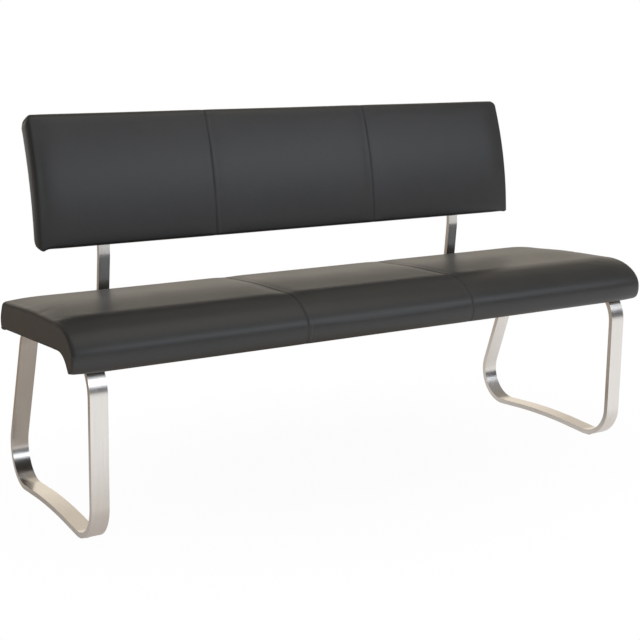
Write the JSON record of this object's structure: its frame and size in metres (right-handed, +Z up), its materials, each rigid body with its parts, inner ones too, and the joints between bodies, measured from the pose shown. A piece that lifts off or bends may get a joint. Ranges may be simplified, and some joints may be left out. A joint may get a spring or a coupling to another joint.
{
  "type": "upholstered bench",
  "caption": "Long upholstered dining bench: waterfall seat pad on bent flat-bar loops, curved backrest pad carried by bent flat bars behind the seat",
  "frame": {"origin": "on the floor under the middle of the bench", "axes": "+X runs along the bench to the sitter's left, +Z is up, and the sitter faces -Y"},
  "size_m": [1.56, 0.5526, 0.8828],
  "materials": {
    "leather": "smooth faux leather, soft satin sheen",
    "foam": "open-cell polyurethane foam, matt",
    "plywood": "plain unfinished plywood",
    "black_steel": "black powder coat",
    "dust_cloth": "thin black non-woven cloth",
    "stainless": "brushed along the bar",
    "zinc": "bright zinc plate",
    "glide_plastic": "moulded, fine matt grain"
  },
  "bodies": {
    "root": {"seat_cover_left": "leather", "seat_cover_middle": "leather", "seat_cover_right": "leather", "seat_cover_left_end": "leather", "seat_cover_right_end": "leather", "seat_foam": "foam", "seat_board": "plywood", "seat_stiffener": "black_steel", "stiffener_screws": "zinc", "dust_cover": "dust_cloth", "left_side_frame": "stainless", "right_side_frame": "stainless", "frame_bolts": "zinc", "frame_washers": "zinc", "frame_tee_nuts": "zinc", "front_left_glide": "glide_plastic", "front_right_glide": "glide_plastic", "rear_left_glide": "glide_plastic", "rear_right_glide": "glide_plastic", "left_bracket": "stainless", "right_bracket": "stainless", "bracket_bolts": "zinc", "bracket_washers": "zinc", "bracket_tee_nuts": "zinc", "back_cover_left": "leather", "back_cover_middle": "leather", "back_cover_right": "leather", "back_cover_left_end": "leather", "back_cover_right_end": "leather", "back_foam": "foam", "back_rear_padding": "foam", "back_board": "plywood", "back_bolts": "zinc", "back_tee_nuts": "zinc"}
  },
  "joints": []
}
